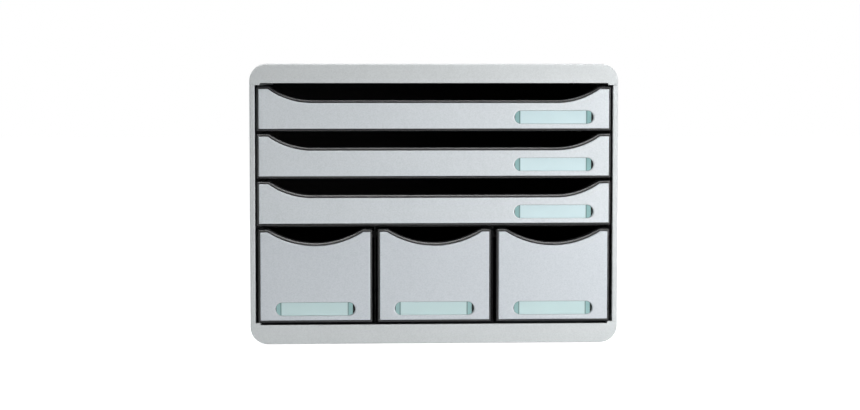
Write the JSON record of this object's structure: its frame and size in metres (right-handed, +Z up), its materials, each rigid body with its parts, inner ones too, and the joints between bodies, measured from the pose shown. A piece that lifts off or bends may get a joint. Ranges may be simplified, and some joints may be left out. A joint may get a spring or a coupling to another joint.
{
  "type": "desk drawer cabinet",
  "caption": "Desktop drawer cabinet: silver moulded casing with round edges, black trays with scooped finger pulls and label windows, wide drawers over small ones.",
  "frame": {"origin": "on the table, under the middle of the cabinet", "axes": "+X to the right seen from the front, +Y from front to back, +Z up"},
  "size_m": [0.355, 0.27, 0.271],
  "materials": {
    "silver_plastic": "satin metallic silver",
    "black_plastic": "satin",
    "clear_tinted_plastic": "clear, pale blue-green",
    "label_paper": "matt paper",
    "foot_rubber": "matt"
  },
  "bodies": {
    "casing": {"bottom_cover": "silver_plastic", "top_cover": "silver_plastic", "left_side_panel": "silver_plastic", "right_side_panel": "silver_plastic", "back_panel": "black_plastic", "floor_panel": "black_plastic", "ceiling_panel": "black_plastic", "shelf": "black_plastic", "left_runner_wall": "black_plastic", "right_runner_wall": "black_plastic", "left_divider": "black_plastic", "right_divider": "black_plastic", "foot_front_left": "foot_rubber", "foot_front_right": "foot_rubber", "foot_back_left": "foot_rubber", "foot_back_right": "foot_rubber"},
    "wide_top_drawer": {"wide_top_tray": "black_plastic", "wide_top_front_plate": "silver_plastic", "wide_top_label_cover": "clear_tinted_plastic", "wide_top_label_card": "label_paper"},
    "wide_middle_drawer": {"wide_middle_tray": "black_plastic", "wide_middle_front_plate": "silver_plastic", "wide_middle_label_cover": "clear_tinted_plastic", "wide_middle_label_card": "label_paper"},
    "wide_lower_drawer": {"wide_lower_tray": "black_plastic", "wide_lower_front_plate": "silver_plastic", "wide_lower_label_cover": "clear_tinted_plastic", "wide_lower_label_card": "label_paper"},
    "small_left_drawer": {"small_left_tray": "black_plastic", "small_left_front_plate": "silver_plastic", "small_left_label_cover": "clear_tinted_plastic", "small_left_label_card": "label_paper"},
    "small_centre_drawer": {"small_centre_tray": "black_plastic", "small_centre_front_plate": "silver_plastic", "small_centre_label_cover": "clear_tinted_plastic", "small_centre_label_card": "label_paper"},
    "small_right_drawer": {"small_right_tray": "black_plastic", "small_right_front_plate": "silver_plastic", "small_right_label_cover": "clear_tinted_plastic", "small_right_label_card": "label_paper"}
  },
  "joints": [
    {"name": "wide_top_slide", "type": "slide", "parent": "casing", "child": "wide_top_drawer", "axis": [0, -1, 0], "range_m": [0, 0.18]},
    {"name": "wide_middle_slide", "type": "slide", "parent": "casing", "child": "wide_middle_drawer", "axis": [0, -1, 0], "range_m": [0, 0.18]},
    {"name": "wide_lower_slide", "type": "slide", "parent": "casing", "child": "wide_lower_drawer", "axis": [0, -1, 0], "range_m": [0, 0.18]},
    {"name": "small_left_slide", "type": "slide", "parent": "casing", "child": "small_left_drawer", "axis": [0, -1, 0], "range_m": [0, 0.18]},
    {"name": "small_centre_slide", "type": "slide", "parent": "casing", "child": "small_centre_drawer", "axis": [0, -1, 0], "range_m": [0, 0.18]},
    {"name": "small_right_slide", "type": "slide", "parent": "casing", "child": "small_right_drawer", "axis": [0, -1, 0], "range_m": [0, 0.18]}
  ]
}
